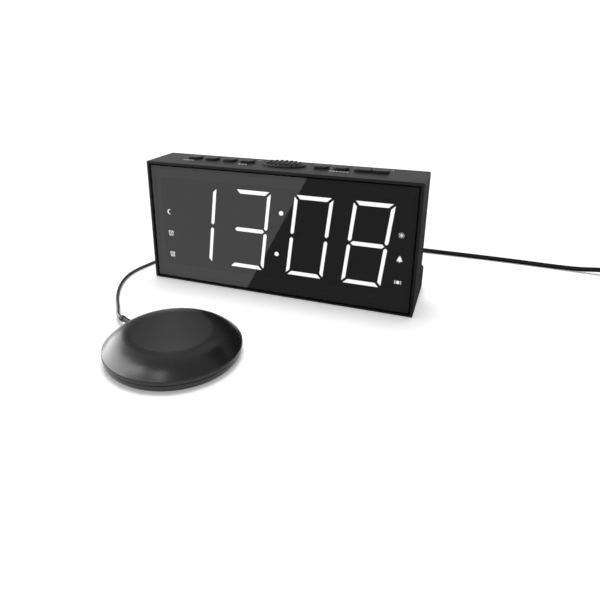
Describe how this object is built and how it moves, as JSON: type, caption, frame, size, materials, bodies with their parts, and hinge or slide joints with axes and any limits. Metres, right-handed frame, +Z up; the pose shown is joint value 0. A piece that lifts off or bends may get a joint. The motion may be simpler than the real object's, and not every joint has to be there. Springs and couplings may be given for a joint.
{
  "type": "bed shaker alarm clock",
  "caption": "Upright digital alarm clock with a wide lit display and a row of top keys, a corded round vibrating puck for the bed and a mains adapter on its cord.",
  "frame": {"origin": "on the floor under the middle of the clock's base, at the base pad's underside", "axes": "+X to the right of a viewer who faces the display, -Y out of the display, +Z up"},
  "size_m": [0.4285, 0.3081, 0.0901],
  "materials": {
    "case_black": "fine moulded texture, satin",
    "cover_black": "moulded texture, matte",
    "panel_smoke": "polished smoked acrylic",
    "mask_black": "matte",
    "segment_lit": "lit white diffuser",
    "segment_dim": "unlit diffuser",
    "board_green": "solder mask",
    "lamp_white": "lamp package",
    "screw_steel": "zinc plated",
    "switch_black": "moulded",
    "key_grey": "satin",
    "snooze_black": "satin",
    "pad_rubber": "matte rubber",
    "cell_jacket": "printed sleeve",
    "nickel": "nickel plated",
    "ribbon_grey": "flat cable",
    "tongue_white": "moulded",
    "motor_steel": "pressed steel",
    "cone_paper": "pressed paper",
    "shaker_black": "satin",
    "weight_brass": "sintered",
    "wire_red": "insulation",
    "plug_black": "soft moulded",
    "cord_black": "smooth sheath",
    "tie_black": "woven band",
    "adapter_black": "moulded texture, matte"
  },
  "bodies": {
    "clock": {"case_body": "case_black", "front_panel": "panel_smoke", "display_mask": "mask_black", "lit_segments": "segment_lit", "unlit_segments": "segment_dim", "indicator_lenses": "segment_dim", "display_board": "board_green", "segment_leds": "lamp_white", "board_screws": "screw_steel", "key_board": "board_green", "key_switches": "switch_black", "snooze_collar": "snooze_black", "rear_cover": "cover_black", "rear_screws": "screw_steel", "base_pad": "pad_rubber", "battery_cells": "cell_jacket", "battery_contacts": "nickel", "main_board": "board_green", "controller_chip": "switch_black", "board_header": "switch_black", "key_ribbon": "ribbon_grey", "dc_jack": "switch_black", "shaker_jack": "switch_black", "usb_socket": "nickel", "usb_tongue": "tongue_white", "speaker_basket": "motor_steel", "speaker_cone": "cone_paper", "shaker_top_shell": "shaker_black", "shaker_bottom_shell": "shaker_black", "shaker_foot_ring": "pad_rubber", "shaker_screws": "screw_steel", "shaker_motor": "motor_steel", "motor_strap": "motor_steel", "motor_wires": "wire_red", "shaker_relief": "plug_black", "shaker_plug": "plug_black", "shaker_plug_pin": "nickel", "shaker_cord": "cord_black", "shaker_cord_coil": "cord_black", "power_plug": "plug_black", "power_plug_sleeve": "nickel", "power_cord": "cord_black", "power_cord_coil": "cord_black", "cord_ties": "tie_black", "adapter_case": "adapter_black", "adapter_blades": "nickel", "adapter_relief": "plug_black"},
    "time_key": {"time_key": "key_grey"},
    "alarm_one_key": {"alarm_one_key": "key_grey"},
    "alarm_two_key": {"alarm_two_key": "key_grey"},
    "volume_key": {"volume_key": "key_grey"},
    "dimmer_key": {"dimmer_key": "key_grey"},
    "mode_key": {"mode_key": "key_grey"},
    "minus_key": {"minus_key": "key_grey"},
    "plus_key": {"plus_key": "key_grey"},
    "snooze_key": {"snooze_key": "snooze_black"},
    "battery_door": {"battery_door": "cover_black"},
    "shaker_rotor": {"motor_shaft": "motor_steel", "eccentric_weight": "weight_brass"}
  },
  "joints": [
    {"name": "time_key_press", "type": "slide", "parent": "clock", "child": "time_key", "axis": [0, 0, -1], "range_m": [0, 0.0009], "stiffness_N_per_m": 400},
    {"name": "alarm_one_key_press", "type": "slide", "parent": "clock", "child": "alarm_one_key", "axis": [0, 0, -1], "range_m": [0, 0.0009], "stiffness_N_per_m": 400},
    {"name": "alarm_two_key_press", "type": "slide", "parent": "clock", "child": "alarm_two_key", "axis": [0, 0, -1], "range_m": [0, 0.0009], "stiffness_N_per_m": 400},
    {"name": "volume_key_press", "type": "slide", "parent": "clock", "child": "volume_key", "axis": [0, 0, -1], "range_m": [0, 0.0009], "stiffness_N_per_m": 400},
    {"name": "dimmer_key_press", "type": "slide", "parent": "clock", "child": "dimmer_key", "axis": [0, 0, -1], "range_m": [0, 0.0009], "stiffness_N_per_m": 400},
    {"name": "mode_key_press", "type": "slide", "parent": "clock", "child": "mode_key", "axis": [0, 0, -1], "range_m": [0, 0.0009], "stiffness_N_per_m": 400},
    {"name": "minus_key_press", "type": "slide", "parent": "clock", "child": "minus_key", "axis": [0, 0, -1], "range_m": [0, 0.0009], "stiffness_N_per_m": 400},
    {"name": "plus_key_press", "type": "slide", "parent": "clock", "child": "plus_key", "axis": [0, 0, -1], "range_m": [0, 0.0009], "stiffness_N_per_m": 400},
    {"name": "snooze_key_press", "type": "slide", "parent": "clock", "child": "snooze_key", "axis": [0, 0, -1], "range_m": [0, 0.0013], "stiffness_N_per_m": 500},
    {"name": "battery_door_swing", "type": "hinge", "parent": "clock", "child": "battery_door", "pos_m": [0, 0.025, 0.00395], "axis": [-1, 0, 0], "range_deg": [0, 80]},
    {"name": "shaker_rotor_spin", "type": "hinge", "parent": "clock", "child": "shaker_rotor", "pos_m": [-0.0276, -0.1154, 0.0075], "axis": [1, 0, 0], "continuous": true}
  ]
}
